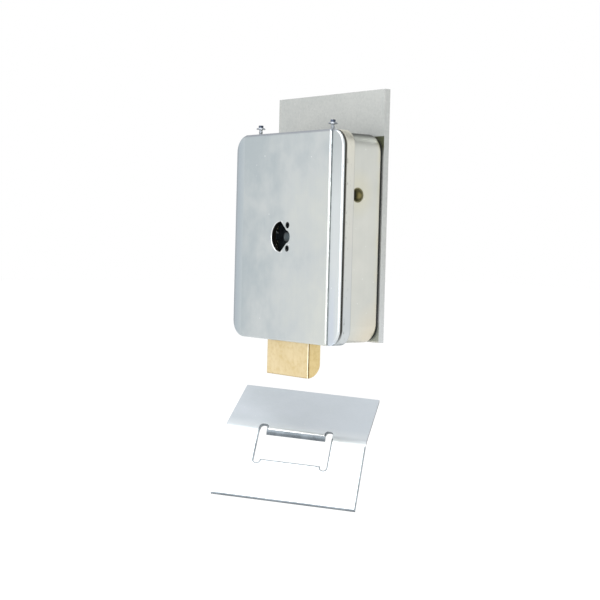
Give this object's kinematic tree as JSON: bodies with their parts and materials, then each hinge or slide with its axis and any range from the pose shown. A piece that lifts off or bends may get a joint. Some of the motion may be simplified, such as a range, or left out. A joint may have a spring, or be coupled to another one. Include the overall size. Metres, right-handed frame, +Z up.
{
  "type": "electric gate lock",
  "caption": "Surface-mounted electric rim lock with a sheet steel case on a mounting plate, a key opening, a spring bolt that slides downwards and a bent strike plate.",
  "frame": {"origin": "on the back face of the mounting plate, on the key axis", "axes": "+X to the right seen from the front, +Y to the back out of the mounting plate, +Z up, away from the bolt"},
  "size_m": [0.1241, 0.1288, 0.257],
  "materials": {
    "zinc_sheet": "bright zinc plated sheet steel",
    "galvanised_plate": "galvanised steel plate, matt",
    "strike_sheet": "zinc plated sheet steel",
    "screw_steel": "zinc plated steel",
    "bolt_brass": "satin brass",
    "black_steel": "blackened steel",
    "yellow_zinc": "yellow passivated zinc",
    "spring_steel": "drawn spring wire",
    "white_plastic": "moulded",
    "copper_wire": "enamelled copper wire",
    "black_plastic": "moulded",
    "gasket_rubber": "sheet rubber"
  },
  "bodies": {
    "lock_case": {"rear_case": "zinc_sheet", "lid_frame": "zinc_sheet", "front_cover": "zinc_sheet", "mounting_plate": "galvanised_plate", "strike_plate": "strike_sheet", "cover_screws": "screw_steel", "screw_nuts": "screw_steel", "case_screws": "screw_steel", "yoke_screws": "screw_steel", "core_nut": "screw_steel", "lever_pivot_pin": "screw_steel", "spring_rod": "screw_steel", "fixed_core": "screw_steel", "hub_bush": "bolt_brass", "terminal_screws": "bolt_brass", "lever_clip": "black_steel", "cable_bush": "yellow_zinc", "bolt_guide": "yellow_zinc", "spring_bracket": "yellow_zinc", "coil_yoke": "yellow_zinc", "bolt_spring": "spring_steel", "coil_bobbin": "white_plastic", "coil_winding": "copper_wire", "terminal_block": "black_plastic", "coil_leads": "black_plastic", "cover_gasket": "gasket_rubber", "case_pad": "gasket_rubber"},
    "bolt": {"bolt_head": "bolt_brass", "bolt_tail": "black_steel", "tail_rivets": "screw_steel"},
    "lever": {"release_lever": "yellow_zinc", "lever_drive_pin": "screw_steel"},
    "plunger_rod": {"plunger": "yellow_zinc", "link_pin": "screw_steel"},
    "hub": {"key_hub": "black_steel", "hub_drive_pin": "screw_steel"}
  },
  "joints": [
    {"name": "bolt_slide", "type": "slide", "parent": "lock_case", "child": "bolt", "axis": [0, 0, 1], "range_m": [0, 0.021], "stiffness_N_per_m": 300, "springref_m": -0.02, "deforming": ["bolt_spring"]},
    {"name": "lever_rock", "type": "hinge", "parent": "lock_case", "child": "lever", "pos_m": [0.02, -0.0196, 0.022], "axis": [0, 1, 0], "range_deg": [0, 34.02]},
    {"name": "plunger_pull", "type": "slide", "parent": "lock_case", "child": "plunger_rod", "axis": [0, 0, -1], "range_m": [0, 0.01103]},
    {"name": "hub_turn", "type": "hinge", "parent": "lock_case", "child": "hub", "pos_m": [0, -0.02, 0], "axis": [0, 1, 0], "range_deg": [0, 82.13]}
  ],
  "couplings": [
    {"joint": "lever_rock", "follows": "bolt_slide", "rad_per_m": 28.188},
    {"joint": "plunger_pull", "follows": "bolt_slide", "ratio": 0.52273},
    {"joint": "hub_turn", "follows": "bolt_slide", "rad_per_m": 68.175}
  ]
}
